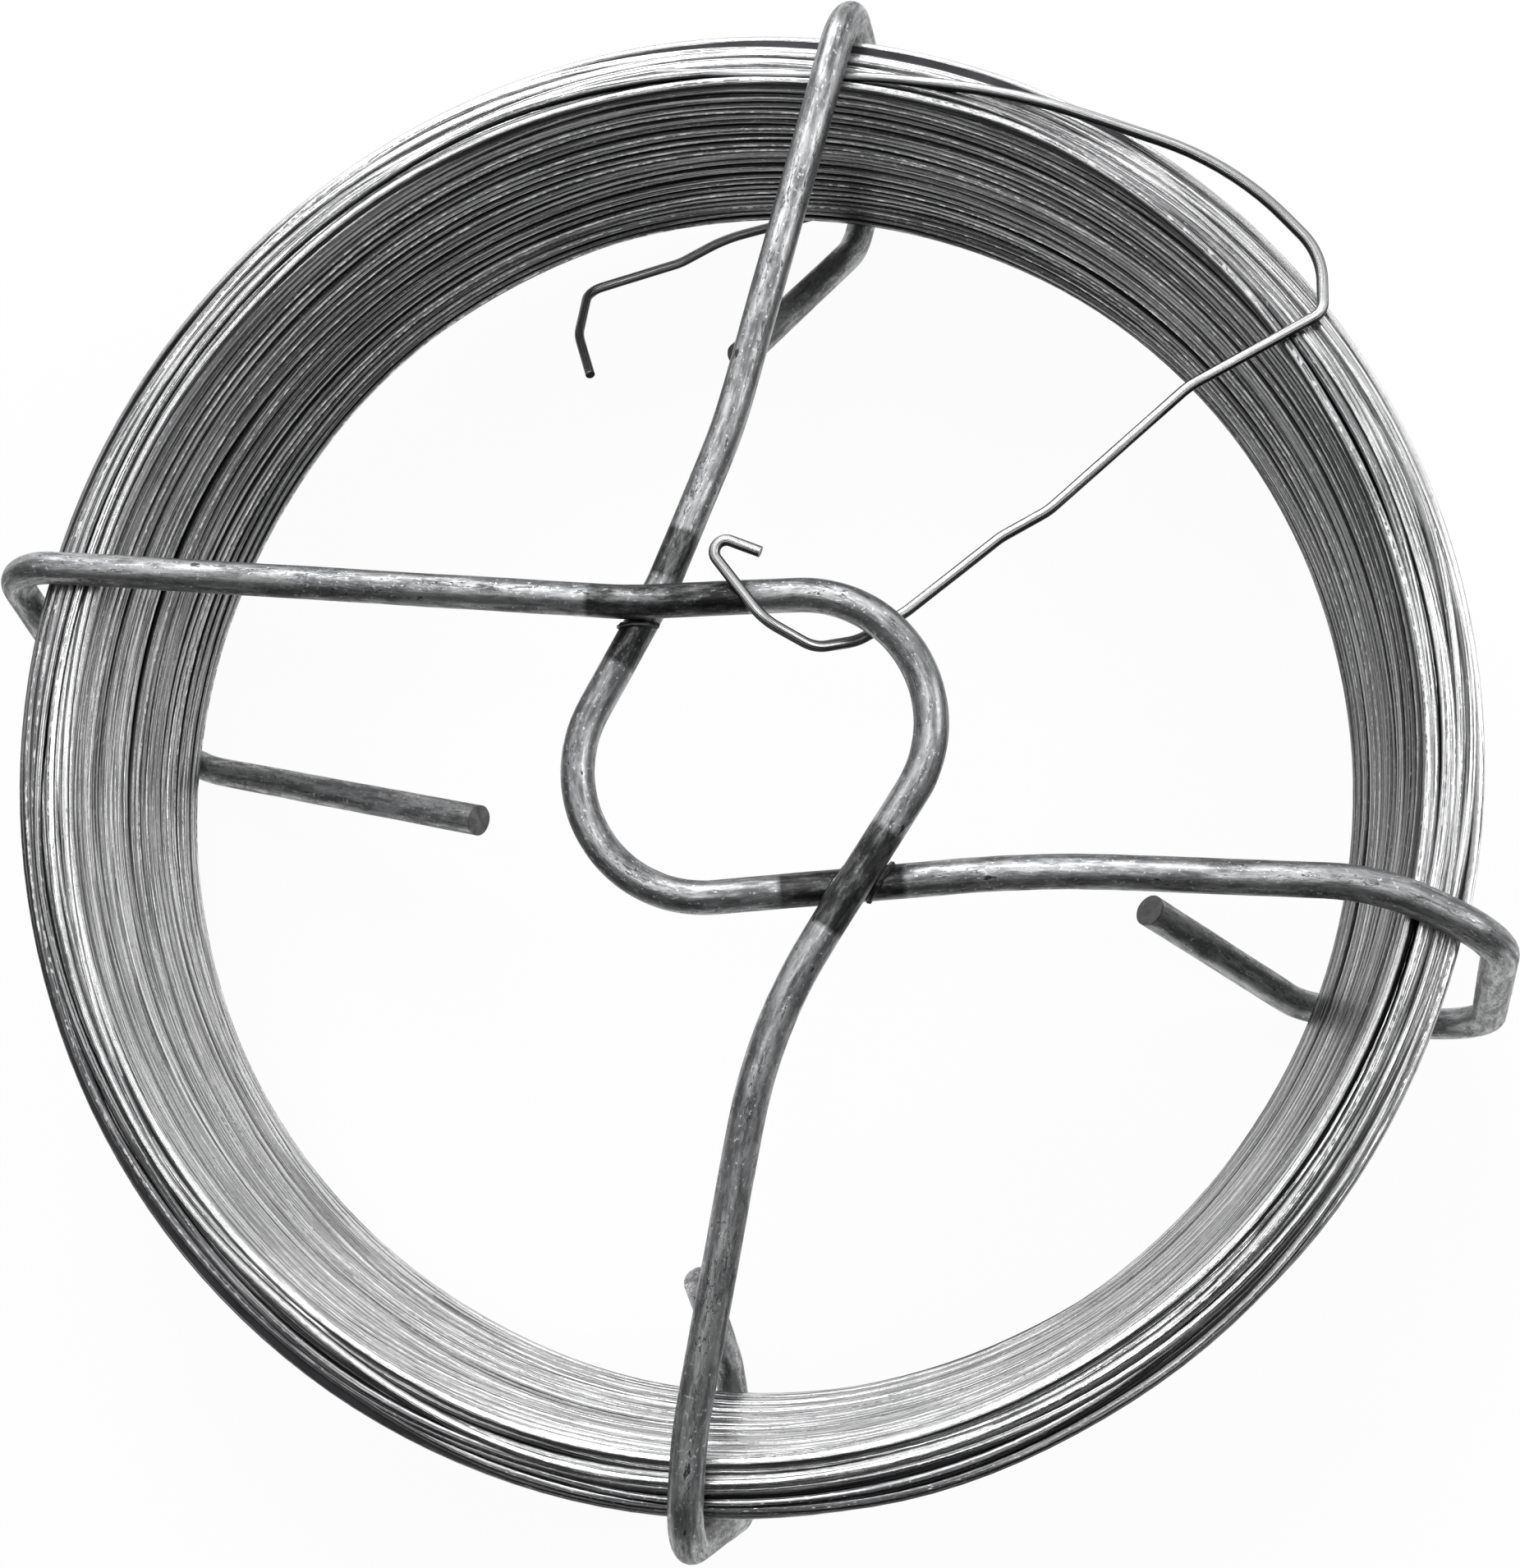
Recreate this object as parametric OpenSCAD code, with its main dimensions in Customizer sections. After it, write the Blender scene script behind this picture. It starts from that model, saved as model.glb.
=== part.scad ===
// Coil of galvanized wire held in a welded cross of two heavier wires.
// The coil lies flat on the back legs of its four hooks, with its axis along Z and the floor at Z 0.

/* [Thin wire] */
// Diameter of the galvanized wire that is wound up
wire_d = 0.9; // [0.7:0.05:1.2]
// Layers of turns from the bore to the outside
layers = 6; // [4:1:9]
// Turns side by side in the innermost layer
turns = 28; // [16:1:40]
// Outer layers that step back by one turn each, which rounds the outer edges
shoulder_layers = 2; // [1:1:3]
// How far neighbouring turns press into each other
turn_bite = 0.01; // [0.005:0.005:0.03]

/* [Coil] */
// Diameter over the outermost layer
coil_d = 117; // [104:1:150]

/* [Cross wires] */
// Diameter of the heavy wire
frame_d = 2.7; // [2.2:0.1:3.4]
// Play between the coil and the wires that hold it
seat_gap = 0.1; // [0.05:0.05:0.3]
// Distance from the outer turns to the middle of a hook at the front
hook_out = 1.6; // [1.6:0.2:4]
// Distance from the outer turns to the middle of a hook at the back
hook_back_out = 5.5; // [3:0.5:8]
// Bend radius of the hooks
hook_bend = 5; // [3:0.5:7]
// How deep one wire sinks into the other at a weld
weld_sink = 0.3; // [0.1:0.05:0.6]
// Bend radius at both ends of the eye in the middle
eye_bend = 10; // [6:0.5:12]

/* [Prongs] */
// Reach of the left prong into the bore
prong_left = 31; // [10:0.5:40]
// Reach of the top prong into the bore
prong_top = 18; // [10:0.5:40]
// Reach of the right prong into the bore
prong_right = 17.2; // [10:0.2:40]
// Reach of the bottom prong into the bore
prong_bottom = 10.5; // [8:0.5:40]
// Height of the prong tips over the back legs
prong_rise = 13; // [6:0.5:20]

/* [Loose ends] */
// Height to which the inner end rises from the back of the coil
inner_end_rise = 8; // [4:0.5:16]

/* [Hidden] */

ring_sides = 16;
tail_sides = 8;
bend_step = 12;
skin_steps = 4;

turn_pitch = wire_d - turn_bite;
layer_pitch = turn_pitch * sin(60);
coil_r = coil_d / 2;
bore_r = coil_r - wire_d - (layers - 1) * layer_pitch;
coil_h = wire_d + (turns - 1) * turn_pitch;

back_z = frame_d / 2;
coil_z = frame_d + seat_gap;
coil_top = coil_z + coil_h;
front_z = coil_top + seat_gap + frame_d / 2;
upper_z = front_z + (frame_d - weld_sink) / 2;
lower_z = front_z - (frame_d - weld_sink) / 2;
tip_z = back_z + prong_rise;

front_reach = coil_r + hook_out;
back_reach = coil_r + hook_back_out;

// Direction of a vector
function unit(v) = v / norm(v);

// Point at a radius and an angle about the axis of the coil, at height z
function around(r, angle, z) = [r * cos(angle), r * sin(angle), z];

// Arc of radius r that rounds the corner c between the points a and b
function bend(a, c, b, r) =
    let (u = unit(a - c), w = unit(b - c), half = acos(u * w) / 2, reach = r / tan(half))
    let (mid = c + unit(u + w) * r / sin(half), start = unit(c + u * reach - mid))
    let (last = c + w * reach - mid, side = unit(last - start * (start * last)))
    let (turn = 180 - 2 * half, steps = max(2, ceil(turn / bend_step)))
    [for (i = [0:steps]) mid + r * (start * cos(turn * i / steps) + side * sin(turn * i / steps))];

// Middle line of a bent wire: its corners are [point, bend radius], and its first and last are its ends
function bent_line(corners) =
    let (last = len(corners) - 1)
    [
        corners[0][0],
        for (i = [1:last - 1])
            each bend(corners[i - 1][0], corners[i][0], corners[i + 1][0], corners[i][1]),
        corners[last][0]
    ];

// Direction of the line at each of its points
function headings(line) =
    let (last = len(line) - 1)
    [
        for (i = [0:last])
            i == 0 ? unit(line[1] - line[0])
            : i == last ? unit(line[last] - line[last - 1])
            : unit(unit(line[i] - line[i - 1]) + unit(line[i + 1] - line[i]))
    ];

// Side direction carried along the line without twist
function sides_along(aims, first, i = 0, done = []) =
    i == len(aims) ? done
    : let (before = i == 0 ? first : done[i - 1])
      sides_along(aims, first, i + 1, concat(done, [unit(before - aims[i] * (before * aims[i]))]));

// Round wire of diameter d along a line, closed at both ends
module wire(line, d, sides) {
    aims = headings(line);
    across = sides_along(aims, abs(aims[0].z) < 0.9 ? [0, 0, 1] : [1, 0, 0]);
    rings = len(line);
    points = [
        for (i = [0:rings - 1])
            let (over = cross(aims[i], across[i]))
            for (k = [0:sides - 1])
                let (turn = 360 * (k + 0.5) / sides)
                line[i] + d / 2 * (across[i] * cos(turn) + over * sin(turn))
    ];
    skin = [
        for (i = [0:rings - 2], k = [0:sides - 1])
            let (next = (k + 1) % sides, here = i * sides, ahead = here + sides)
            each [[here + k, ahead + k, ahead + next], [here + k, ahead + next, here + next]]
    ];
    first_face = [for (k = [0:sides - 1]) k];
    last_face = [for (k = [sides - 1:-1:0]) (rings - 1) * sides + k];
    polyhedron(points, concat([first_face], skin, [last_face]));
}

// Number of turns in a layer, counted from the bore: layers nest in the grooves of the one below
function turns_in(layer) =
    let (full = layers - 1 - shoulder_layers)
    layer <= full ? turns - layer % 2 : turns - full % 2 - (layer - full);

// Middle of one turn in the cross-section of the coil
function turn_at(layer, number) =
    [bore_r + wire_d / 2 + layer * layer_pitch,
     wire_d / 2 + ((turns - turns_in(layer)) / 2 + number) * turn_pitch];

// Turns that show: up the bore, over the front, down the outside and back under
outer_layer = layers - 1;
shown_turns = [
    for (n = [0:turns_in(0) - 1]) turn_at(0, n),
    for (layer = [1:outer_layer - 1]) turn_at(layer, turns_in(layer) - 1),
    for (n = [turns_in(outer_layer) - 1:-1:0]) turn_at(outer_layer, n),
    for (layer = [outer_layer - 1:-1:1]) turn_at(layer, 0)
];

// Bottom of the groove between two neighbouring turns, on the left of the way from a to b
function groove(a, b) =
    let (way = unit(b - a), left = [-way.y, way.x])
    (a + b) / 2 + left * sqrt(pow(wire_d / 2, 2) - pow(norm(b - a) / 2, 2));

// Angle of a point seen from the middle of a turn
function bearing(middle, point) = atan2(point.y - middle.y, point.x - middle.x);

// Outer side of one turn, clockwise from the groove before it up to the groove after it
function turn_skin(middle, before, after) =
    let (start = bearing(middle, before), sweep = (start - bearing(middle, after) + 360) % 360)
    [
        for (i = [0:skin_steps - 1])
            let (angle = start - sweep * i / skin_steps)
            middle + wire_d / 2 * [cos(angle), sin(angle)]
    ];

coil_outline = [
    for (i = [0:len(shown_turns) - 1])
        let (turn = shown_turns[i])
        let (last = shown_turns[(i + len(shown_turns) - 1) % len(shown_turns)])
        let (next = shown_turns[(i + 1) % len(shown_turns)])
        each turn_skin(turn, groove(last, turn), groove(turn, next))
];

module coil() {
    color([0.74, 0.75, 0.76])
    translate([0, 0, coil_z])
    rotate_extrude($fn = 180)
    polygon(coil_outline);
}

// Wire whose arms run to the left and to the bottom, and that lies on top at both welds
upper_line = bent_line([
    [around(bore_r - prong_left, 192.5, tip_z), 0],
    [around(bore_r - 1, 177.8, back_z), 6],
    [around(back_reach, 173.7, back_z), hook_bend],
    [around(front_reach + 0.2, 165.7, front_z), hook_bend],
    [around(bore_r - 1, 164.3, front_z), 40],
    [[-6, 9.8, upper_z], 30],
    [[25.6, 10.2, upper_z], eye_bend],
    [[4.5, -22.5, upper_z], 40],
    [around(bore_r - 2, 268.8, front_z), 30],
    [around(front_reach - 0.1, 268.5, front_z), hook_bend],
    [around(back_reach, 269.5, back_z), hook_bend],
    [around(bore_r - 1.7, 267.5, back_z), 4],
    [around(bore_r - prong_bottom, 266.3, tip_z), 0]
]);

// Wire whose arms run to the top and to the right, and that lies below at both welds
lower_line = bent_line([
    [around(bore_r - prong_top, 90, tip_z), 0],
    [around(bore_r - 1.5, 79.3, back_z), 5],
    [around(back_reach + 0.2, 78.7, back_z), hook_bend],
    [around(front_reach + 0.3, 79.3, front_z), hook_bend],
    [around(bore_r - 1.5, 80, front_z), 30],
    [[1.4, 24.4, lower_z], 50],
    [[-3.7, 11.9, lower_z], 16],
    [[-18, -14.2, lower_z], eye_bend],
    [[25, -11, lower_z], 80],
    [around(bore_r - 3, 345.9, front_z), 18],
    [around(front_reach - 0.5, 343.8, front_z), hook_bend],
    [around(back_reach + 3.3, 339.9, back_z), hook_bend + 1],
    [around(bore_r - 1.6, 336.6, back_z), 5],
    [around(bore_r - prong_right, 338.9, tip_z), 0]
]);

module upper_stock() {
    wire(upper_line, frame_d, ring_sides);
}

module lower_stock() {
    wire(lower_line, frame_d, ring_sides);
}

// Slab over or under the plane of the welds, wide enough for the eye
module weld_side(over) {
    reach = 4 * eye_bend;
    translate([-reach, -reach, over ? front_z : front_z - frame_d])
    cube([2 * reach, 2 * reach, frame_d]);
}

module cross_wire_upper() {
    color([0.52, 0.53, 0.54])
    difference() {
        upper_stock();
        intersection() {
            lower_stock();
            weld_side(false);
        }
    }
}

module cross_wire_lower() {
    color([0.48, 0.49, 0.50])
    difference() {
        lower_stock();
        intersection() {
            upper_stock();
            weld_side(true);
        }
    }
}

// Heights of the loose outer end: on the coil, under the eye and over it
on_coil_z = coil_top + seat_gap + wire_d / 2;
under_eye_z = upper_z - frame_d / 2 - seat_gap - wire_d / 2;
over_eye_z = upper_z + frame_d / 2 + seat_gap + wire_d / 2;

outer_end_line = bent_line([
    [around(coil_r - 4.7, 77, on_coil_z), 0],
    [around(coil_r + 0.2, 61, on_coil_z), 40],
    [around(coil_r + 1.6, 45, on_coil_z), 14],
    [around(coil_r - 1.1, 34, on_coil_z), 1.5],
    [around(coil_r - 14, 34.5, on_coil_z), 12],
    [[16.3, 8.7, under_eye_z], 10],
    [[8.6, 5.4, (under_eye_z + over_eye_z) / 2], 4],
    [[2.8, 10.4, over_eye_z], 6],
    [[-0.6, 15.6, over_eye_z], 0.9],
    [[4.4, 12.6, over_eye_z], 0]
]);

module outer_end() {
    color([0.74, 0.75, 0.76])
    wire(outer_end_line, wire_d, tail_sides);
}

under_coil_z = coil_z - seat_gap - wire_d / 2;

inner_end_line = bent_line([
    [around(bore_r + 0.2, 82, under_coil_z), 0],
    [around(bore_r - 1, 93, under_coil_z), 12],
    [around(bore_r - 3, 98, under_coil_z + 0.5), 6],
    [around(bore_r - 4, 108.4, under_coil_z + 2), 2],
    [around(bore_r - 9.5, 110.8, under_coil_z + inner_end_rise * 0.7), 6],
    [around(bore_r - 14, 112, under_coil_z + inner_end_rise), 0]
]);

module inner_end() {
    color([0.74, 0.75, 0.76])
    wire(inner_end_line, wire_d, tail_sides);
}

coil();
cross_wire_upper();
cross_wire_lower();
outer_end();
inner_end();
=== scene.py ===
"""Coil of thin galvanized wire held in a welded cross of two heavier bent wires."""

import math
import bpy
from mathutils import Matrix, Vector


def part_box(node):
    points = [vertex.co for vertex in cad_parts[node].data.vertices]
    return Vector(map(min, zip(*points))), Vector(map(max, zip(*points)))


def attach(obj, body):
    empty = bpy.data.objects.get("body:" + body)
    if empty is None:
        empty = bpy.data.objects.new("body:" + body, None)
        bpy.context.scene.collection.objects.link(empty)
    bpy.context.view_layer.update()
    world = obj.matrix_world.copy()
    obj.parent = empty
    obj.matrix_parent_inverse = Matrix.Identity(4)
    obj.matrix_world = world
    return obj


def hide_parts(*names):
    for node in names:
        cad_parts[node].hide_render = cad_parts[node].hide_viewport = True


bl_info = {
    "name": "Wire coil in a welded cross",
    "version": (1, 0, 0),
    "blender": (4, 5, 0),
    "location": "3D View > Sidebar > Wire coil",
    "description": "Builds the windings, the cross wires, the loose ends and the studio of a wire coil",
    "category": "Object",
}

import bpy
from mathutils import Matrix, Vector

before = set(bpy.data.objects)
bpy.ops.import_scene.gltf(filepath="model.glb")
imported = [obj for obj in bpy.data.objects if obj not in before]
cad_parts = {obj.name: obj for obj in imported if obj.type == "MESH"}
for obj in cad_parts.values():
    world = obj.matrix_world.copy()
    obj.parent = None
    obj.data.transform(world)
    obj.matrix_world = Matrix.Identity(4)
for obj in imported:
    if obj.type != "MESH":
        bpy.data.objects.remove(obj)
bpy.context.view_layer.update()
COIL_LOW, COIL_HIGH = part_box("coil")
MM = 0.001

# Sizes of the windings in the source, in metres
COIL_RADIUS = (COIL_HIGH.x - COIL_LOW.x) / 2
TURN_PITCH = 0.89 * MM
LAYER_PITCH = 0.7708 * MM
LAYERS = 6
TURNS = 28
# Directions, as angles from X, where the painted shade on the skin of the rim is darkest and the painted light on the
# skin of the bore is brightest
RIM_PAINTED_SHADE_DARKEST = math.radians(-134)
BORE_PAINTED_LIGHT_BRIGHTEST = math.radians(-108)
TAIL_DULLNESS = 0.5
# How much lower the front lies at its outer edge, where the outer layers step back under the hooks
RIM_DROP = 0.55 * MM
BORE_RADIUS = COIL_RADIUS - 0.9 * MM - (LAYERS - 1) * LAYER_PITCH


class Wiring:
    """Adds nodes to a tree and joins them, so that a sum reads as one line."""

    def __init__(self, tree):
        self.tree = tree

    def add(self, kind, **settings):
        made = self.tree.nodes.new(kind)
        place = len(self.tree.nodes)
        made.location = (200 * (place % 14), -260 * (place // 14))
        for key, value in settings.items():
            setattr(made, key, value)
        return made

    def feed(self, socket, value):
        if isinstance(value, bpy.types.NodeSocket):
            self.tree.links.new(value, socket)
        elif value is not None:
            socket.default_value = value

    def math(self, operation, *values):
        made = self.add("ShaderNodeMath", operation=operation)
        for socket, value in zip(made.inputs, values):
            self.feed(socket, value)
        return made.outputs[0]

    def vector(self, operation, *values):
        made = self.add("ShaderNodeVectorMath", operation=operation)
        for socket, value in zip(made.inputs, values):
            self.feed(socket, value)
        number = operation in ("DOT_PRODUCT", "LENGTH", "DISTANCE")
        return made.outputs["Value" if number else "Vector"]

    def scaled(self, vector, factor):
        made = self.add("ShaderNodeVectorMath", operation="SCALE")
        self.feed(made.inputs[0], vector)
        self.feed(made.inputs["Scale"], factor)
        return made.outputs["Vector"]

    def combine(self, x, y, z):
        made = self.add("ShaderNodeCombineXYZ")
        for socket, value in zip(made.inputs, (x, y, z)):
            self.feed(socket, value)
        return made.outputs[0]

    def separate(self, vector):
        made = self.add("ShaderNodeSeparateXYZ")
        self.feed(made.inputs[0], vector)
        return made.outputs

    def noise(self, vector, scale=1.0, detail=2.0, roughness=0.5):
        made = self.add("ShaderNodeTexNoise")
        self.feed(made.inputs["Vector"], vector)
        self.feed(made.inputs["Scale"], scale)
        self.feed(made.inputs["Detail"], detail)
        self.feed(made.inputs["Roughness"], roughness)
        return made.outputs

    def noise_along(self, place, scale=1.0, detail=1.0):
        made = self.add("ShaderNodeTexNoise", noise_dimensions="1D")
        self.feed(made.inputs["W"], place)
        self.feed(made.inputs["Scale"], scale)
        self.feed(made.inputs["Detail"], detail)
        return made.outputs[0]

    def remap(self, value, low, high, to_low=0.0, to_high=1.0, smooth=False):
        made = self.add("ShaderNodeMapRange", interpolation_type="SMOOTHSTEP" if smooth else "LINEAR")
        for name, given in zip(
            ("Value", "From Min", "From Max", "To Min", "To Max"), (value, low, high, to_low, to_high)
        ):
            self.feed(made.inputs[name], given)
        return made.outputs[0]

    def blend(self, factor, first, second, mode="MIX"):
        made = self.add("ShaderNodeMix", data_type="RGBA", blend_type=mode)
        self.feed(made.inputs[0], factor)
        self.feed(made.inputs[6], first)
        self.feed(made.inputs[7], second)
        return made.outputs[2]

    def store(self, geometry, name, kind, value):
        made = self.add("GeometryNodeStoreNamedAttribute", data_type=kind, domain="POINT")
        self.feed(made.inputs["Geometry"], geometry)
        self.feed(made.inputs["Name"], name)
        self.feed(made.inputs["Value"], value)
        return made.outputs[0]

    def read(self, name, kind):
        made = self.add("GeometryNodeInputNamedAttribute", data_type=kind)
        self.feed(made.inputs["Name"], name)
        return made.outputs["Attribute"]


def new_tree(name, inputs):
    """Empty geometry tree with named inputs, its wiring, and the sockets of those inputs."""
    tree = bpy.data.node_groups.new(name, "GeometryNodeTree")
    tree.interface.new_socket(name="Geometry", in_out="OUTPUT", socket_type="NodeSocketGeometry")
    for label, kind, default in inputs:
        socket = tree.interface.new_socket(name=label, in_out="INPUT", socket_type="NodeSocket" + kind)
        if default is not None:
            socket.default_value = default
    wiring = Wiring(tree)
    entry = wiring.add("NodeGroupInput")
    return tree, wiring, entry.outputs


def finish_tree(wiring, geometry, material):
    """Ends a tree in real geometry that carries its material."""
    smooth = wiring.add("GeometryNodeSetShadeSmooth")
    wiring.feed(smooth.inputs[0], geometry)
    real = wiring.add("GeometryNodeRealizeInstances")
    wiring.feed(real.inputs[0], smooth.outputs[0])
    paint = wiring.add("GeometryNodeSetMaterial")
    wiring.feed(paint.inputs["Geometry"], real.outputs[0])
    wiring.feed(paint.inputs["Material"], material)
    leave = wiring.add("NodeGroupOutput")
    wiring.feed(leave.inputs[0], paint.outputs[0])


def grow(name, tree, base, values):
    """Runs a tree on a base mesh and returns the plain mesh object that it makes."""
    carrier = bpy.data.objects.new(name + "_carrier", base)
    bpy.context.scene.collection.objects.link(carrier)
    modifier = carrier.modifiers.new("Shape", "NODES")
    modifier.node_group = tree
    for item in tree.interface.items_tree:
        if item.item_type == "SOCKET" and item.in_out == "INPUT" and item.name in values:
            modifier[item.identifier] = values[item.name]
    graph = bpy.context.evaluated_depsgraph_get()
    made = bpy.data.meshes.new_from_object(carrier.evaluated_get(graph))
    if not made.polygons:
        raise RuntimeError(f"{name} came out empty")
    made.name = name
    bpy.data.objects.remove(carrier)
    piece = bpy.data.objects.new(name, made)
    bpy.context.scene.collection.objects.link(piece)
    return piece


def winding_tree():
    """Tree that winds one wire round the axis from one corner of the coil's section to the next."""
    tree, w, given = new_tree("Winding", [
        ("Geometry", "Geometry", None),
        ("Turns", "Float", 28.0),
        ("Turns before", "Float", 0.0),
        ("Start angle", "Float", 0.0),
        ("Calm end", "Float", 0.12),
        ("Steps in a turn", "Float", 160.0),
        ("Start radius", "Float", 0.054),
        ("End radius", "Float", 0.054),
        ("Start height", "Float", 0.003),
        ("End height", "Float", 0.027),
        ("Ripple", "Float", 0.0),
        ("Radial wander", "Float", 0.0001),
        ("Height wander", "Float", 0.0001),
        ("Bundle drift", "Float", 0.0),
        ("Height drift", "Float", 0.0),
        ("Gap turn", "Float", -9.0),
        ("Gap", "Float", 0.0),
        ("Oval", "Float", 0.0),
        ("Wire diameter", "Float", 0.0009),
        ("Sides", "Int", 8),
        ("Open sideways", "Float", -1.0),
        ("Open upwards", "Float", 0.0),
        ("Rim", "Float", 0.0),
        ("Painted side shade angle", "Float", 0.0),
        ("Painted shade all round", "Float", 0.0),
        ("Painted side shade at start", "Float", 1.0),
        ("Painted side shade at end", "Float", 1.0),
        ("Seed", "Float", 0.0),
        ("Material", "Material", None),
    ])
    line = w.add("GeometryNodeCurvePrimitiveLine")
    cut = w.add("GeometryNodeResampleCurve")
    w.feed(cut.inputs["Curve"], line.outputs[0])
    w.feed(cut.inputs["Count"], w.math("ADD", w.math("MULTIPLY", given["Turns"], given["Steps in a turn"]), 1.0))
    index = w.add("GeometryNodeInputIndex").outputs[0]
    turn = w.math("DIVIDE", index, given["Steps in a turn"])
    clock = w.math("ADD", turn, given["Turns before"])
    angle = w.math("MULTIPLY_ADD", clock, 2 * math.pi, given["Start angle"])
    cosine = w.math("COSINE", angle)
    sine = w.math("SINE", angle)
    share = w.math("DIVIDE", turn, given["Turns"])
    radius = w.remap(share, 0.0, 1.0, given["Start radius"], given["End radius"])
    height = w.remap(share, 0.0, 1.0, given["Start height"], given["End height"])
    ripple = w.math("MULTIPLY", w.math("SUBTRACT", 1.0, w.math("COSINE", w.math("MULTIPLY", turn, math.pi))), 0.5)
    past_gap = w.remap(turn, w.math("SUBTRACT", given["Gap turn"], 0.7), given["Gap turn"], smooth=True)
    height = w.math("MULTIPLY_ADD", w.math("SUBTRACT", past_gap, share), given["Gap"], height)
    to_end = w.math("MINIMUM", turn, w.math("SUBTRACT", given["Turns"], turn))
    free = w.remap(to_end, 0.0, given["Calm end"], 0.0, 1.0, smooth=True)
    height = w.math("SUBTRACT", height, w.math("MULTIPLY", w.math("MULTIPLY", ripple, given["Ripple"]), free))
    own = w.combine(
        w.math("MULTIPLY", cosine, 1.3),
        w.math("MULTIPLY", sine, 1.3),
        w.math("ADD", w.math("MULTIPLY", clock, 1.7), given["Seed"]),
    )
    bundle = w.combine(
        w.math("MULTIPLY", cosine, 0.9),
        w.math("MULTIPLY", sine, 0.9),
        w.math("ADD", w.math("MULTIPLY", clock, 0.21), given["Seed"]),
    )
    own = w.separate(w.vector("SUBTRACT", w.noise(own, 1.0, 1.0)[1], (0.5, 0.5, 0.5)))
    bundle = w.separate(w.vector("SUBTRACT", w.noise(bundle, 1.0, 0.0)[1], (0.5, 0.5, 0.5)))
    for field, outward, upward in ((own, "Radial wander", "Height wander"), (bundle, "Bundle drift", "Height drift")):
        reach = w.math("MULTIPLY", free, 4.0)
        radius = w.math("MULTIPLY_ADD", field[0], w.math("MULTIPLY", given[outward], reach), radius)
        height = w.math("MULTIPLY_ADD", field[1], w.math("MULTIPLY", given[upward], reach), height)
    place = w.combine(
        w.math("MULTIPLY", w.math("MULTIPLY", radius, cosine), w.math("SUBTRACT", 1.0, given["Oval"])),
        w.math("MULTIPLY", radius, sine),
        height,
    )
    put = w.add("GeometryNodeSetPosition")
    w.feed(put.inputs["Geometry"], cut.outputs[0])
    w.feed(put.inputs["Position"], place)
    along = w.math("MULTIPLY", angle, given["Start radius"])
    marked = w.store(put.outputs[0], "along", "FLOAT", along)
    # Weight of the painted shade that darkens the side of each turn facing the painted-shade angle; below zero it
    # paints light there instead
    painted_shade_weight = w.remap(share, 0.0, 1.0, given["Painted side shade at start"], given["Painted side shade at end"])
    marked = w.store(marked, "painted_shade_weight", "FLOAT", painted_shade_weight)
    last_turn = w.remap(w.math("SUBTRACT", given["Turns"], turn), 1.0, 1.4, given["Rim"], 0.0)
    marked = w.store(marked, "rim", "FLOAT", last_turn)
    marked = w.store(marked, "middle", "FLOAT_VECTOR", w.add("GeometryNodeInputPosition").outputs[0])
    round_shape = w.add("GeometryNodeCurvePrimitiveCircle")
    w.feed(round_shape.inputs["Resolution"], given["Sides"])
    w.feed(round_shape.inputs["Radius"], w.math("MULTIPLY", given["Wire diameter"], 0.5))
    sweep = w.add("GeometryNodeCurveToMesh")
    w.feed(sweep.inputs["Curve"], marked)
    w.feed(sweep.inputs["Profile Curve"], round_shape.outputs[0])
    w.feed(sweep.inputs["Fill Caps"], True)
    middle = w.read("middle", "FLOAT_VECTOR")
    out = w.vector("NORMALIZE", w.vector("SUBTRACT", w.add("GeometryNodeInputPosition").outputs[0], middle))
    level = w.vector("NORMALIZE", w.vector("MULTIPLY", middle, (1.0, 1.0, 0.0)))
    sideways = w.vector("DOT_PRODUCT", out, level)
    upwards = w.separate(out)[2]
    shaped = w.store(
        sweep.outputs[0], "lay", "FLOAT_VECTOR", w.combine(w.read("along", "FLOAT"), sideways, upwards)
    )
    # How far the skin faces out of the coil: the mask of the painted shade in the gaps between turns
    openness = w.math(
        "ADD",
        w.math("MULTIPLY", sideways, given["Open sideways"]),
        w.math("MULTIPLY", upwards, w.math("ADD", given["Open upwards"], w.read("rim", "FLOAT"))),
    )
    shaped = w.store(shaped, "open", "FLOAT", openness)
    # Painted light and shade: the skin is darkened on the side of the coil that faces this angle, as a lamp would leave
    # it, plus an even painted shade all round
    painted_shade_angle = given["Painted side shade angle"]
    toward = w.combine(w.math("COSINE", painted_shade_angle), w.math("SINE", painted_shade_angle), 0.0)
    facing = w.vector("DOT_PRODUCT", level, toward)
    tone_and_painted_shade = w.math("MULTIPLY_ADD", facing, w.read("painted_shade_weight", "FLOAT"), given["Painted shade all round"])
    shaped = w.store(shaped, "tone_and_painted_shade", "FLOAT", tone_and_painted_shade)
    across = w.math(
        "ADD",
        w.math("MULTIPLY", upwards, w.math("ABSOLUTE", given["Open sideways"])),
        w.math("MULTIPLY", sideways, w.math("ABSOLUTE", given["Open upwards"])),
    )
    shaped = w.store(shaped, "across", "FLOAT", across)
    finish_tree(w, shaped, given["Material"])
    return tree


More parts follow.
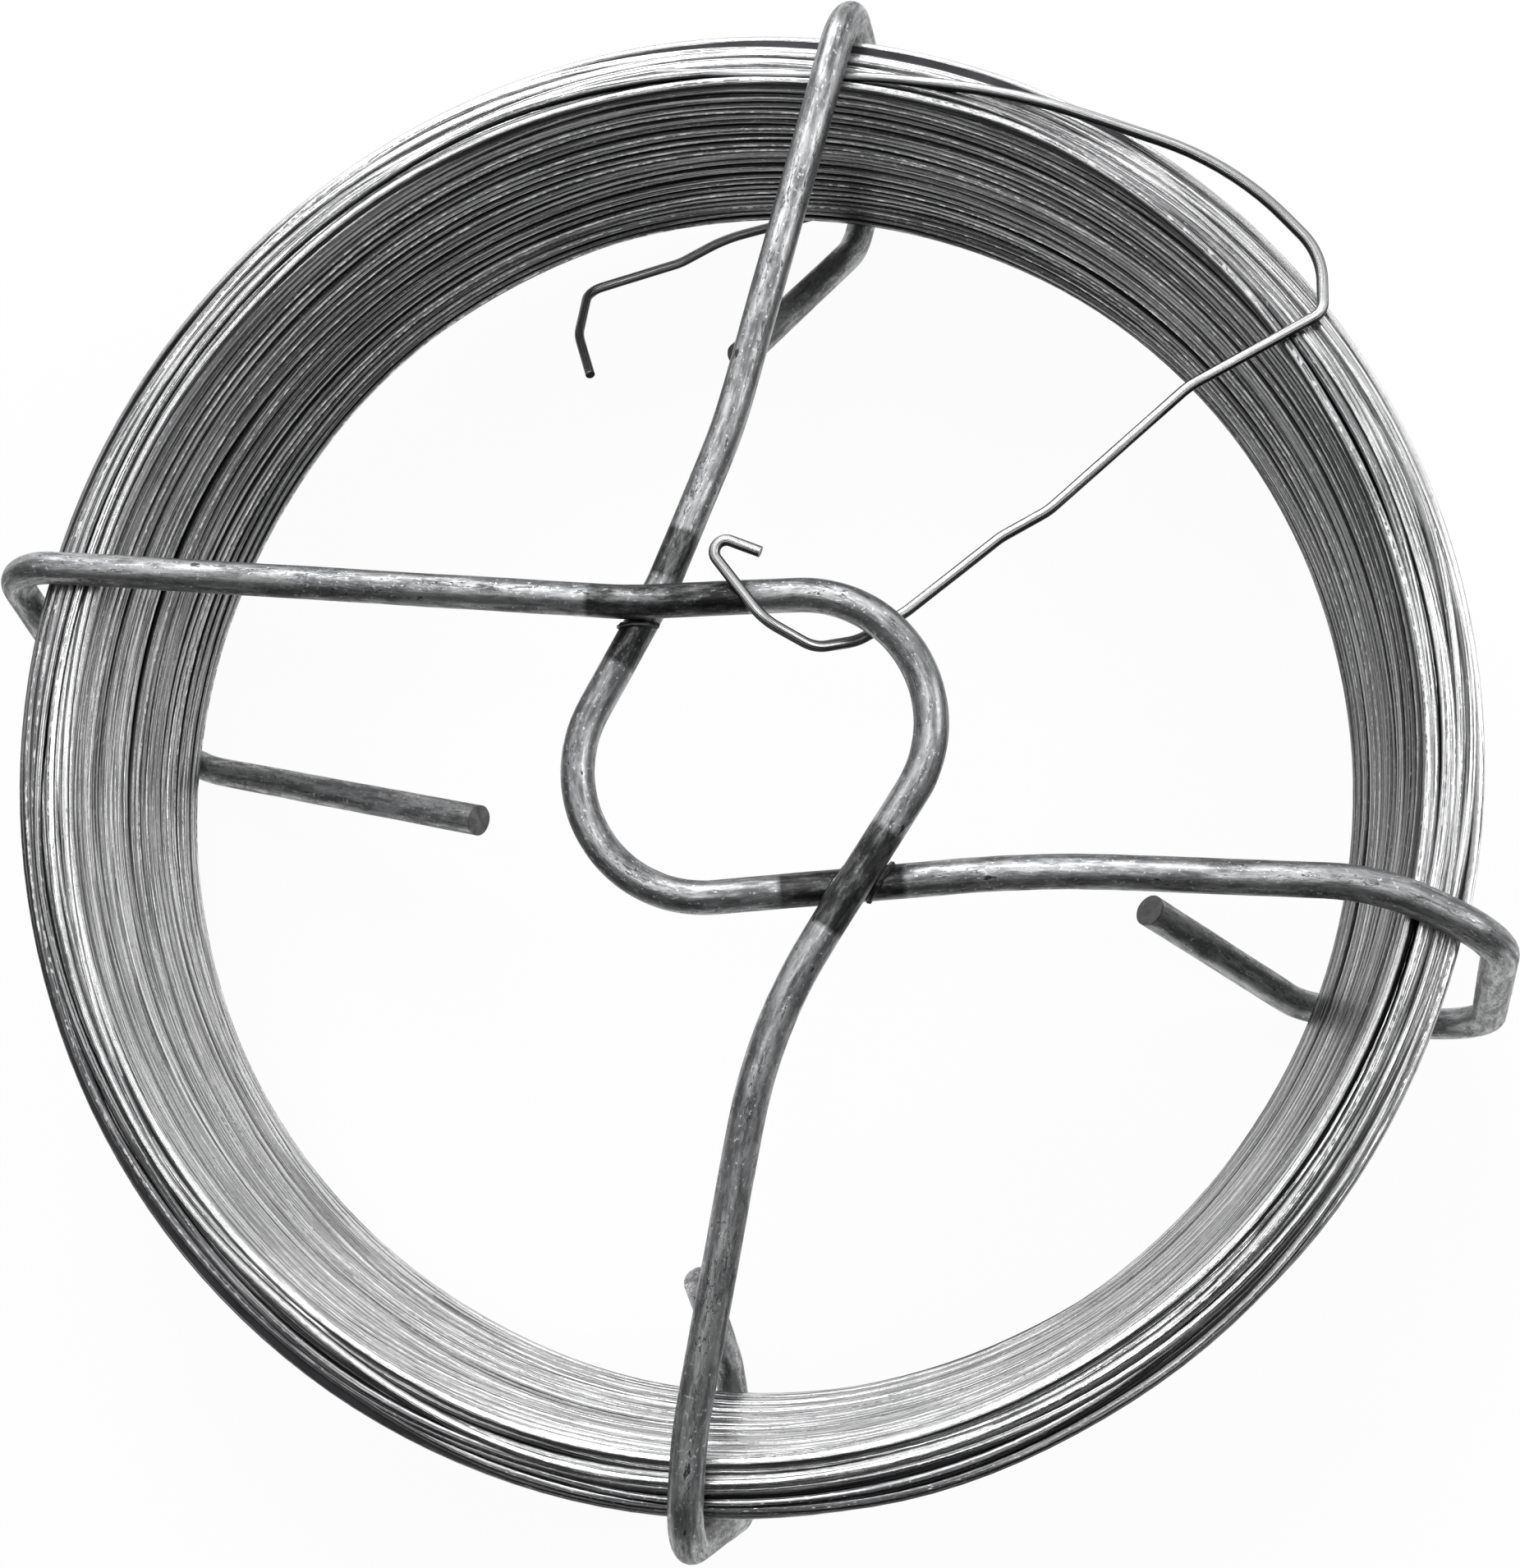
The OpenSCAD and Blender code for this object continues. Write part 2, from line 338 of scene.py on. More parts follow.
def bent_wire_tree():
    """Tree that gives a bent line its round section, its cut ends and its uneven skin."""
    tree, w, given = new_tree("Bent wire", [
        ("Geometry", "Geometry", None),
        ("Wire diameter", "Float", 0.0027),
        ("Sides", "Int", 24),
        ("Unevenness", "Float", 0.00003),
        ("Dent length", "Float", 0.004),
        ("Seed", "Float", 0.0),
        ("Material", "Material", None),
    ])
    curve = w.add("GeometryNodeMeshToCurve")
    w.feed(curve.inputs[0], given["Geometry"])
    girth = w.add("GeometryNodeSetCurveRadius")
    w.feed(girth.inputs["Curve"], curve.outputs[0])
    w.feed(girth.inputs["Radius"], w.read("girth", "FLOAT"))
    marked = w.store(girth.outputs[0], "middle", "FLOAT_VECTOR", w.add("GeometryNodeInputPosition").outputs[0])
    round_shape = w.add("GeometryNodeCurvePrimitiveCircle")
    w.feed(round_shape.inputs["Resolution"], given["Sides"])
    w.feed(round_shape.inputs["Radius"], w.math("MULTIPLY", given["Wire diameter"], 0.5))
    way = w.vector("NORMALIZE", w.add("GeometryNodeInputPosition").outputs[0])
    profile = w.store(round_shape.outputs[0], "side", "FLOAT_VECTOR", way)
    sweep = w.add("GeometryNodeCurveToMesh")
    w.feed(sweep.inputs["Curve"], marked)
    w.feed(sweep.inputs["Profile Curve"], profile)
    w.feed(sweep.inputs["Fill Caps"], True)
    side = w.separate(w.read("side", "FLOAT_VECTOR"))
    lay = w.combine(w.read("along", "FLOAT"), side[0], side[1])
    shaped = w.store(sweep.outputs[0], "lay", "FLOAT_VECTOR", lay)
    shaped = w.store(shaped, "across", "FLOAT", side[0])
    stretch = w.combine(w.math("DIVIDE", 1.0, given["Dent length"]), 1.1, 1.1)
    field = w.vector("MULTIPLY", w.read("lay", "FLOAT_VECTOR"), stretch)
    field = w.vector("ADD", field, w.combine(given["Seed"], 0.0, 0.0))
    dents = w.math("SUBTRACT", w.noise(field, 1.0, 2.0)[0], 0.72)
    position = w.add("GeometryNodeInputPosition").outputs[0]
    out = w.vector("NORMALIZE", w.vector("SUBTRACT", position, w.read("middle", "FLOAT_VECTOR")))
    # How far the skin faces up: on the loose ends the zinc paints shade on the underside
    shaped = w.store(shaped, "open", "FLOAT", w.separate(out)[2])
    put = w.add("GeometryNodeSetPosition")
    w.feed(put.inputs["Geometry"], shaped)
    w.feed(put.inputs["Offset"], w.scaled(out, w.math("MULTIPLY", dents, w.math("MULTIPLY", given["Unevenness"], 2.0))))
    finish_tree(w, put.outputs[0], given["Material"])
    return tree


def new_material(name, roughness=None):
    """Empty metal: its wiring and its shader."""
    material = bpy.data.materials.new(name)
    material.use_nodes = True
    nodes = material.node_tree.nodes
    shader = nodes["Principled BSDF"]
    shader.location = (1400, 300)
    nodes["Material Output"].location = (1700, 300)
    return material, Wiring(material.node_tree), shader


def attribute(w, name, output="Vector"):
    return w.add("ShaderNodeAttribute", attribute_name=name).outputs[output]


def thin_lines(w, field, scale, width, detail=2.0):
    """Fine lines that run where a stretched noise passes its middle, from 0 beside them to 1 on them."""
    level = w.noise(w.vector("MULTIPLY", field, scale), 1.0, detail, 0.55)[0]
    apart = w.math("ABSOLUTE", w.math("SUBTRACT", level, 0.5))
    return w.remap(apart, 0.0, width, 1.0, 0.0)


def dark_line(w, along, across, rate, start, broken):
    """One thin dark line that wanders over the skin of a strand, from 0 beside it to 1 on it."""
    stray = w.noise_along(w.math("MULTIPLY_ADD", along, rate, start), 1.0, 2.0)
    stray = w.math("MULTIPLY", w.math("SUBTRACT", stray, 0.5), 2.6)
    apart = w.math("ABSOLUTE", w.math("SUBTRACT", across, stray))
    return w.math("MULTIPLY", w.remap(apart, 0.07, 0.17, 1.0, 0.0), broken)


def zinc_material(finish):
    """Drawn and galvanized thin wire: bright and dark lines along it and pits, with painted highlight dashes and
    glints, painted shade in the grooves between turns, and painted light and shade that make one side of the coil
    darker than the other.
    """
    material, w, shader = new_material("zinc_on_thin_wire")
    lay = attribute(w, "lay")
    across = attribute(w, "across", "Fac")
    rough = w.math("SUBTRACT", 1.0, attribute(w, "calm", "Fac"))
    along = w.separate(lay)[0]
    strand = w.noise_along(w.math("MULTIPLY", along, 3.1), 1.0, 2.0)
    strand = w.remap(strand, 0.36, 0.64, 0.0, 1.0, smooth=True)
    lines = w.noise(w.vector("MULTIPLY", lay, (42.0, 4.0, 4.0)), 1.0, 4.0, 0.6)[0]
    lines = w.remap(lines, 0.44, 0.56, 0.0, 1.0, smooth=True)
    grain = w.noise(w.vector("MULTIPLY", lay, (1900.0, 4.2, 4.2)), 1.0, 3.0, 0.65)[0]
    tone = w.math("ADD", w.math("MULTIPLY", strand, 0.4), w.math("MULTIPLY", lines, 0.6))
    # Painted light and shade by side of the coil, and an even darker tone on the loose ends: darkens or lightens the
    # zinc
    tone_and_painted_shade = w.remap(attribute(w, "tone_and_painted_shade", "Fac"), -0.9, 0.9, 0.0, 1.0, smooth=True)
    tone = w.math("MULTIPLY", tone, w.math("MULTIPLY_ADD", tone_and_painted_shade, -0.5, 1.0))
    tone = w.math("ADD", tone, w.math("MULTIPLY_ADD", tone_and_painted_shade, -0.53, 0.48))
    colour = w.blend(w.remap(tone, 0.0, 1.0), tuple(finish.zinc_dark) + (1.0,), tuple(finish.zinc_bright) + (1.0,))
    broken = w.remap(w.noise(w.vector("MULTIPLY", lay, (130.0, 1.0, 1.0)), 1.0, 2.0)[0], 0.38, 0.52)
    black = w.math(
        "MAXIMUM", dark_line(w, along, across, 11.0, 0.0, broken), dark_line(w, along, across, 7.0, 5.0, broken)
    )
    black = w.math("MAXIMUM", black, thin_lines(w, lay, (24.0, 5.0, 5.0), 0.025))
    black = w.math("MAXIMUM", w.math("MULTIPLY", black, 0.85), w.math("MULTIPLY", w.remap(grain, 0.60, 0.68), 0.6))
    black = w.math("MULTIPLY", black, w.math("MULTIPLY_ADD", rough, 0.8, 0.2))
    colour = w.blend(black, colour, (0.02, 0.02, 0.022, 1.0))
    # Painted highlight: bright dashes along the crest of the strands, and bright specks of painted glint from the grain
    beads = w.noise(w.vector("MULTIPLY", lay, (1700.0, 1.5, 1.5)), 1.0, 1.0)[0]
    beads = w.math("MULTIPLY", w.remap(beads, 0.52, 0.60), w.remap(strand, 0.75, 0.95))
    beads = w.math("MULTIPLY", beads, w.remap(w.math("ABSOLUTE", across), 0.15, 0.35, 0.6, 0.0))
    painted_glints = w.math("MAXIMUM", w.remap(grain, 0.40, 0.32, 0.0, 0.5), beads)
    colour = w.blend(w.math("MULTIPLY", painted_glints, rough), colour, (0.97, 0.97, 0.98, 1.0))
    # Painted shade: the zinc goes near black where the skin faces into the gaps between turns, less so on the painted
    # bright side
    painted_lit_side_lift = w.remap(tone_and_painted_shade, 0.0, 0.6, 0.4, 0.0)
    painted_groove_shade = w.remap(attribute(w, "open", "Fac"), 0.42, 0.96, painted_lit_side_lift, 1.0, smooth=True)
    colour = w.blend(painted_groove_shade, (0.012, 0.012, 0.013, 1.0), colour)
    w.feed(shader.inputs["Base Color"], colour)
    shader.inputs["Metallic"].default_value = 0.95
    w.feed(shader.inputs["Roughness"], w.remap(tone, 0.0, 1.0, 0.36, 0.16))
    bump = w.add("ShaderNodeBump")
    bump.inputs["Strength"].default_value = 0.35
    bump.inputs["Distance"].default_value = 0.00004
    w.feed(bump.inputs["Height"], w.math("ADD", lines, w.math("MULTIPLY", grain, rough)))
    w.feed(shader.inputs["Normal"], bump.outputs[0])
    return material


def steel_material(finish):
    """Dull drawn steel of the heavy wires: black broken streaks, worn bright specks and heat marks at the welds."""
    material, w, shader = new_material("drawn_steel_on_heavy_wire")
    lay = attribute(w, "lay")
    streak = w.noise(w.vector("MULTIPLY", lay, (110.0, 1.5, 1.5)), 1.0, 5.0, 0.62)[0]
    mottle = w.noise(w.vector("MULTIPLY", lay, (480.0, 2.0, 2.0)), 1.0, 5.0, 0.66)[0]
    speck = w.noise(w.vector("MULTIPLY", lay, (2600.0, 5.0, 5.0)), 1.0, 2.0, 0.6)[0]
    tone = w.math("ADD", w.math("MULTIPLY", streak, 0.55), w.math("MULTIPLY", mottle, 0.45))
    tone = w.remap(tone, 0.40, 0.62, 0.0, 1.0, smooth=True)
    colour = w.blend(tone, tuple(finish.steel_dark) + (1.0,), tuple(finish.steel_bright) + (1.0,))
    patches = w.noise(w.vector("MULTIPLY", lay, (85.0, 1.2, 1.2)), 1.0, 2.0)[0]
    cracks = thin_lines(w, lay, (420.0, 2.6, 2.6), 0.022, 4.0)
    cracks = w.math("MULTIPLY", cracks, w.remap(patches, 0.44, 0.60))
    black = w.math("MAXIMUM", cracks, w.remap(mottle, 0.63, 0.68))
    colour = w.blend(w.math("MULTIPLY", black, 0.9), colour, (0.018, 0.018, 0.02, 1.0))
    worn = w.remap(speck, 0.62, 0.70, 0.0, 0.6)
    colour = w.blend(worn, colour, (0.82, 0.83, 0.84, 1.0))
    heat = attribute(w, "scorch", "Fac")
    scorch = w.remap(w.math("ADD", mottle, w.math("SUBTRACT", patches, 0.5)), 0.35, 0.65, 0.14, 0.42, smooth=True)
    burnt = w.blend(1.0, colour, w.combine(scorch, scorch, scorch), "MULTIPLY")
    colour = w.blend(heat, colour, burnt)
    sheared = w.remap(attribute(w, "cut", "Fac"), 0.5, 0.9)
    colour = w.blend(sheared, colour, w.blend(streak, (0.03, 0.03, 0.032, 1.0), (0.22, 0.22, 0.225, 1.0)))
    w.feed(shader.inputs["Base Color"], colour)
    shader.inputs["Metallic"].default_value = 0.85
    w.feed(shader.inputs["Roughness"], w.remap(tone, 0.0, 1.0, 0.5, 0.33))
    bump = w.add("ShaderNodeBump")
    bump.inputs["Strength"].default_value = 0.5
    bump.inputs["Distance"].default_value = 0.00009
    relief = w.math("ADD", streak, w.math("MULTIPLY", mottle, 0.8))
    w.feed(bump.inputs["Height"], w.math("SUBTRACT", relief, w.math("MULTIPLY", black, 0.3)))
    w.feed(shader.inputs["Normal"], bump.outputs[0])
    return material


def shade_material():
    """Painted shade: near-black metal for the hidden turns deep between the visible ones."""
    material, w, shader = new_material("shade_between_turns")
    place = w.add("ShaderNodeTexCoord").outputs["Object"]
    cloud = w.noise(place, 400.0, 3.0)[0]
    w.feed(shader.inputs["Base Color"], w.blend(cloud, (0.01, 0.01, 0.012, 1.0), (0.05, 0.05, 0.055, 1.0)))
    shader.inputs["Metallic"].default_value = 0.6
    w.feed(shader.inputs["Roughness"], w.remap(cloud, 0.0, 1.0, 0.75, 0.55))
    return material


def around(radius, degrees, height):
    """Point at a radius and an angle about the axis of the coil, in millimetres."""
    turn = math.radians(degrees)
    return (radius * math.cos(turn), radius * math.sin(turn), height)


def bend_points(before, corner, after, radius):
    """Arc that rounds a corner of a bent wire."""
    one = (before - corner).normalized()
    two = (after - corner).normalized()
    half = math.acos(max(-1.0, min(1.0, one.dot(two)))) / 2
    reach = radius / math.tan(half)
    centre = corner + (one + two).normalized() * (radius / math.sin(half))
    start = (corner + one * reach - centre).normalized()
    last = (corner + two * reach - centre).normalized()
    side = (last - start * start.dot(last)).normalized()
    turn = math.pi - 2 * half
    steps = max(4, math.ceil(math.degrees(turn) / 3))
    return [
        centre + radius * (start * math.cos(turn * i / steps) + side * math.sin(turn * i / steps))
        for i in range(steps + 1)
    ]


def bent_line(corners):
    """Middle line of a bent wire from its corners and their bend radii, in metres."""
    points = [Vector(place) for place, radius in corners]
    line = [points[0]]
    for i in range(1, len(points) - 1):
        line += bend_points(points[i - 1], points[i], points[i + 1], corners[i][1])
    line.append(points[-1])
    return [point * MM for point in line]


def even_steps(line, step):
    """The same line with its points a fixed step apart."""
    lengths = [0.0]
    for one, two in zip(line, line[1:]):
        lengths.append(lengths[-1] + (two - one).length)
    count = max(2, round(lengths[-1] / step))
    points, marks, j = [], [], 0
    for i in range(count + 1):
        want = lengths[-1] * i / count
        while j < len(line) - 2 and lengths[j + 1] < want:
            j += 1
        gap = lengths[j + 1] - lengths[j]
        share = 0.0 if gap < 1e-9 else (want - lengths[j]) / gap
        points.append(line[j].lerp(line[j + 1], min(1.0, share)))
        marks.append(want)
    return points, marks


def nearest_mark(points, marks, place, after=0.0):
    """Length along a line at which it passes closest to a place."""
    spot = Vector(place) * MM
    best = min(
        (k for k in range(len(points)) if marks[k] >= after),
        key=lambda k: (points[k] - spot).length,
    )
    return marks[best]


def line_mesh(name, line, step, heated=(), chamfer=0.0):
    """Mesh of points and edges along a line, with what the tree and the material read from it."""
    points, marks = even_steps(line, step)
    mesh = bpy.data.meshes.new(name)
    mesh.from_pydata(points, [(i, i + 1) for i in range(len(points) - 1)], [])
    total = marks[-1]
    cut = [1.0 if i in (0, len(points) - 1) else 0.0 for i in range(len(points))]
    heat = [0.0] * len(points)
    for first, last in heated:
        low, high = sorted((nearest_mark(points, marks, first), nearest_mark(points, marks, last)))
        for i, mark in enumerate(marks):
            if low <= mark <= high:
                heat[i] = 1.0
    girth = [1.0] * len(points)
    if chamfer:
        for i, mark in enumerate(marks):
            left = min(mark, total - mark) / chamfer
            if left < 1:
                girth[i] = 0.80 + 0.20 * math.sqrt(max(0.0, 1 - (1 - left) ** 2))
    for label, values in (("along", marks), ("scorch", heat), ("cut", cut), ("girth", girth)):
        made = mesh.attributes.new(label, "FLOAT", "POINT")
        made.data.foreach_set("value", values)
    return mesh


# Paths of the bent wires, as in the source, in millimetres
BORE = BORE_RADIUS / MM
COIL = COIL_RADIUS / MM
BACK, FRONT, UPPER, LOWER, TIP = 1.35, 29.18, 30.38, 27.98, 14.35
ON_COIL, UNDER_EYE, OVER_EYE, UNDER_COIL = 28.28, 28.48, 32.27, 2.25
FRONT_REACH, BACK_REACH, HOOK_BEND, EYE_BEND = 60.1, 64.0, 5, 10

UPPER_CORNERS = [
    (around(BORE - 31, 192.5, TIP), 0),
    (around(BORE - 1, 177.8, BACK), 6),
    (around(BACK_REACH, 173.7, BACK), HOOK_BEND),
    (around(FRONT_REACH + 0.2, 165.7, FRONT), HOOK_BEND),
    (around(BORE - 1, 164.3, FRONT), 40),
    ((-6, 9.8, UPPER), 30),
    ((25.6, 10.2, UPPER), EYE_BEND),
    ((4.5, -22.5, UPPER), 40),
    (around(BORE - 2, 268.8, FRONT), 30),
    (around(FRONT_REACH - 0.1, 268.5, FRONT), HOOK_BEND),
    (around(BACK_REACH, 269.5, BACK), HOOK_BEND),
    (around(BORE - 1.7, 267.5, BACK), 4),
    (around(BORE - 10.5, 266.3, TIP), 0),
]
LOWER_CORNERS = [
    (around(BORE - 18, 89.3, TIP), 0),
    (around(BORE - 1.5, 79.3, BACK), 5),
    (around(BACK_REACH + 0.2, 78.7, BACK), HOOK_BEND),
    (around(FRONT_REACH + 0.3, 79.3, FRONT), HOOK_BEND),
    (around(BORE - 1.5, 80, FRONT), 30),
    ((1.4, 24.4, LOWER), 50),
    ((-3.7, 11.9, LOWER), 16),
    ((-18, -14.2, LOWER), EYE_BEND),
    ((25, -11, LOWER), 80),
    (around(BORE - 3, 345.9, FRONT), 18),
    (around(FRONT_REACH - 0.5, 343.8, FRONT), HOOK_BEND),
    (around(BACK_REACH + 3.3, 339.9, BACK), HOOK_BEND + 1),
    (around(BORE - 1.6, 336.6, BACK), 5),
    (around(BORE - 17.2, 338.9, TIP), 0),
]
OUTER_END_CORNERS = [
    (around(COIL - 2.9, 95, 27.2), 0),
    ((12.5, 53.7, 27.35), 60),
    ((24.5, 51.0, ON_COIL), 60),
    ((41.0, 43.7, ON_COIL), 25),
    ((47.3, 36.0, ON_COIL), 6),
    ((47.2, 31.3, ON_COIL), 1.4),
    ((37.0, 25.9, ON_COIL), 6),
    ((26.2, 16.5, ON_COIL), 5),
    ((22.5, 14.5, ON_COIL), 5),
    ((15.3, 8.9, UNDER_EYE), 6),
    ((11.6, 6.7, UNDER_EYE), 3),
    ((8.4, 5.8, (UNDER_EYE + OVER_EYE) / 2), 3),
    ((4.7, 7.7, OVER_EYE), 4),
    ((-0.8, 15.1, OVER_EYE), 0.9),
    ((4.5, 12.9, OVER_EYE), 0),
]
INNER_END_CORNERS = [
    (around(BORE + 1.4, 83, UNDER_COIL), 0),
    (around(BORE - 1, 93, UNDER_COIL), 12),
    (around(BORE - 3, 98, UNDER_COIL + 0.5), 6),
    (around(BORE - 4, 108.4, UNDER_COIL + 2), 2),
    (around(BORE - 9.5, 110.8, UNDER_COIL + 5.6), 6),
    (around(BORE - 14.7, 111.0, UNDER_COIL + 8), 0),
]

# Heat marks beside the two welds, as pairs of places on each wire
UPPER_HEAT = [((-8.96, 10.3, UPPER), (3.2, 10.3, UPPER)), ((14.0, -8.8, UPPER), (9.7, -15.4, UPPER))]
LOWER_HEAT = [
    ((-2.0, 15.5, LOWER), (-3.1, 12.4, LOWER)),
    ((-5.5, 8.7, LOWER), (-7.0, 5.8, LOWER)),
    ((5.8, -12.4, LOWER), (14.8, -11.7, LOWER)),
]


# Places near the two welds, and the bead of squeezed metal along each side of the upper wire there
WELDS = [(-4.6, 10.1), (11.0, -12.4)]
BEAD_OUT, BEAD_DIAMETER = 1.42, 0.62


def crossing(upper, lower, near):
    """Place where two lines pass each other close to a spot, seen from above, and their directions there."""
    spot = Vector(near) * MM
    reach = 6 * MM

    def close(line):
        return [k for k in range(1, len(line) - 1) if (line[k].xy - spot).length < reach and line[k].z > 20 * MM]

    i, j = min(
        ((i, j) for i in close(upper) for j in close(lower)),
        key=lambda pair: (upper[pair[0]].xy - lower[pair[1]].xy).length,
    )
    along_upper = (upper[i + 1].xy - upper[i - 1].xy).normalized()
    along_lower = (lower[j + 1].xy - lower[j - 1].xy).normalized()
    return lower[j], along_upper, along_lower


def bead_line(place, along_upper, along_lower, side, radius):
    """Line over the lower wire that hugs one side of the upper wire at a weld."""
    slant = abs(along_upper.cross(along_lower))
    start = along_lower * (side * BEAD_OUT * MM / slant)
    line = []
    for k in range(13):
        off = (k / 6 - 1) * radius * 0.97
        step = start + along_upper * (off / slant)
        rise = math.sqrt(max(0.0, radius ** 2 - off ** 2))
        line.append(Vector((place.x + step.x, place.y + step.y, place.z + rise)))
    return line


class WindingSettings(bpy.types.PropertyGroup):
    wire_diameter: bpy.props.FloatProperty(
        name="Wire diameter", description="Thickness of the thin wire", default=0.9 * MM, unit="LENGTH"
    )
    oval: bpy.props.FloatProperty(
        name="Oval", description="How much narrower the coil is from left to right", default=0.016, subtype="FACTOR"
    )
    wander: bpy.props.FloatProperty(
        name="Wander", description="How far a turn strays from its place", default=0.12 * MM, unit="LENGTH"
    )
    face_wander: bpy.props.FloatProperty(
        name="Face wander", description="How far a turn on the front strays", default=0.50 * MM, unit="LENGTH"
    )
    start_angle: bpy.props.FloatProperty(
        name="Start angle", description="Where the windings of one side pass to the next, in degrees", default=345.0
    )
    steps: bpy.props.IntProperty(
        name="Steps in a turn", description="Straight pieces that each turn is made of", default=160
    )
    seed: bpy.props.FloatProperty(name="Seed", description="Start of the strays", default=3.0)


class CrossSettings(bpy.types.PropertyGroup):
    wire_diameter: bpy.props.FloatProperty(
        name="Heavy wire diameter", description="Thickness of the cross wires", default=2.7 * MM, unit="LENGTH"
    )
    unevenness: bpy.props.FloatProperty(
        name="Unevenness", description="Depth of the dents in the heavy wire", default=0.05 * MM, unit="LENGTH"
    )
    tail_diameter: bpy.props.FloatProperty(
        name="Loose end diameter", description="Thickness of the two loose ends", default=0.9 * MM, unit="LENGTH"
    )


class FinishSettings(bpy.types.PropertyGroup):
    zinc_bright: bpy.props.FloatVectorProperty(
        name="Bright zinc", description="Brightest lines of the thin wire", default=(0.95, 0.953, 0.96), subtype="COLOR"
    )
    zinc_dark: bpy.props.FloatVectorProperty(
        name="Dark zinc", description="Darkest lines of the thin wire", default=(0.07, 0.071, 0.074), subtype="COLOR"
    )
    steel_bright: bpy.props.FloatVectorProperty(
        name="Bright steel", description="Lightest streaks of the heavy wire", default=(0.44, 0.444, 0.45), subtype="COLOR"
    )
    steel_dark: bpy.props.FloatVectorProperty(
        name="Dark steel", description="Darkest streaks of the heavy wire", default=(0.12, 0.122, 0.125), subtype="COLOR"
    )


class StudioSettings(bpy.types.PropertyGroup):
    lens: bpy.props.FloatProperty(name="Lens", description="Focal length of the camera", default=39.8)
    key: bpy.props.FloatProperty(name="Key light", description="Power of the large soft light", default=1.7)
    fill: bpy.props.FloatProperty(name="Fill light", description="Strength of the light from all round", default=0.4)


class WireCoilSettings(bpy.types.PropertyGroup):
    winding: bpy.props.PointerProperty(type=WindingSettings, name="Windings", description="Thin wire of the coil")
    cross: bpy.props.PointerProperty(type=CrossSettings, name="Cross", description="Heavy wires and loose ends")
    finish: bpy.props.PointerProperty(type=FinishSettings, name="Finish", description="Colours of both wires")
    studio: bpy.props.PointerProperty(type=StudioSettings, name="Studio", description="Camera and light")


def place_piece(piece, slot, *nodes):
    """Rides a finished piece on the object and hides the CAD nodes that it replaces."""
    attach(piece, "root")
    if nodes:
        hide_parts(*nodes)
    return piece


def kept_material(name, maker):
    """A material that is made once and used by several pieces."""
    return bpy.data.materials.get(name) or maker()


class WIRECOIL_OT_windings(bpy.types.Operator):
    """Winds the turns that show: up the bore, over the front, down the outside and back under"""

    bl_idname = "wirecoil.windings"
    bl_label = "Wind the coil"

    def execute(self, context):
        settings = context.scene.wire_coil
        winding = settings.winding
        zinc = kept_material("zinc_on_thin_wire", lambda: zinc_material(settings.finish))
        tree = winding_tree()
        half = winding.wire_diameter / 2
        low = COIL_LOW.z + half
        high = COIL_HIGH.z - half
        inner = BORE_RADIUS + half
        outer = COIL_RADIUS - half
        under = high - 0.42 * MM
        rim = high - RIM_DROP
        inward, outward, upward, downward = (-1.0, 0.0), (1.0, 0.7), (0.0, 1.0), (0.0, -1.0)
        face, side = winding.face_wander, winding.wander
        # The bore gets painted light on the side facing its angle, and an even painted shade all round
        around_bore = {
            "Gap turn": 8.0,
            "Gap": 0.35 * MM,
            "Rim": 1.0,
            "Painted side shade angle": BORE_PAINTED_LIGHT_BRIGHTEST,
            "Painted shade all round": 0.35,
            "Painted side shade at start": -1.0,
            "Painted side shade at end": -1.0,
        }
        over_front = {"Painted side shade at start": -0.4, "Painted side shade at end": 1.3}
        groups = [
            ("turns_of_bore", TURNS - 1, 0, inner, inner, low, high, 0.0,
             side * 1.5, side * 0.6, side, inward, 8, around_bore),
            ("turns_of_front", LAYERS - 1, 27, inner, outer - 0.2 * MM, high, rim, 0.45 * MM,
             face, 0.0, 0.0, upward, 12, over_front),
            ("turns_under_front", LAYERS - 1, 40, inner + 0.35 * MM, outer - half, under, rim - 0.3 * MM, 0.0,
             face * 0.7, 0.0, 0.0, upward, 10, over_front),
            ("crossing_turns", 3, 71, inner + half, outer - 0.6 * MM, high, rim, 0.0,
             face * 1.1, 0.0, 0.0, upward, 12, over_front),
            ("turns_of_outside", TURNS - 1, 32, outer, outer, rim, low, 0.0,
             side * 0.6, side, side, outward, 8, {}),
            ("turns_of_back", LAYERS - 1, 59, outer, inner, low, low, -0.45 * MM,
             face, 0.0, 0.0, downward, 8, {}),
        ]
        for (name, turns, before, start_r, end_r, start_z, end_z, ripple,
             radial, upright, drift, opening, sides, others) in groups:
            piece = grow(name, tree, bpy.data.meshes.new(name + "_base"), {
                "Turns": float(turns),
                "Turns before": float(before),
                "Start angle": math.radians(winding.start_angle),
                "Steps in a turn": float(winding.steps),
                "Start radius": start_r,
                "End radius": end_r,
                "Start height": start_z,
                "End height": end_z,
                "Ripple": ripple,
                "Radial wander": radial,
                "Height wander": upright,
                "Bundle drift": drift,
                "Height drift": drift * 2.0,
                "Oval": winding.oval,
                "Wire diameter": winding.wire_diameter,
                "Sides": sides,
                "Open sideways": opening[0],
                "Open upwards": opening[1],
                "Painted side shade angle": RIM_PAINTED_SHADE_DARKEST,
                "Painted side shade at start": 1.0,
                "Painted side shade at end": 1.0,
                "Seed": winding.seed,
                "Material": zinc,
                **others,
            })
            place_piece(piece, "thin_wire", "coil")
        return {"FINISHED"}


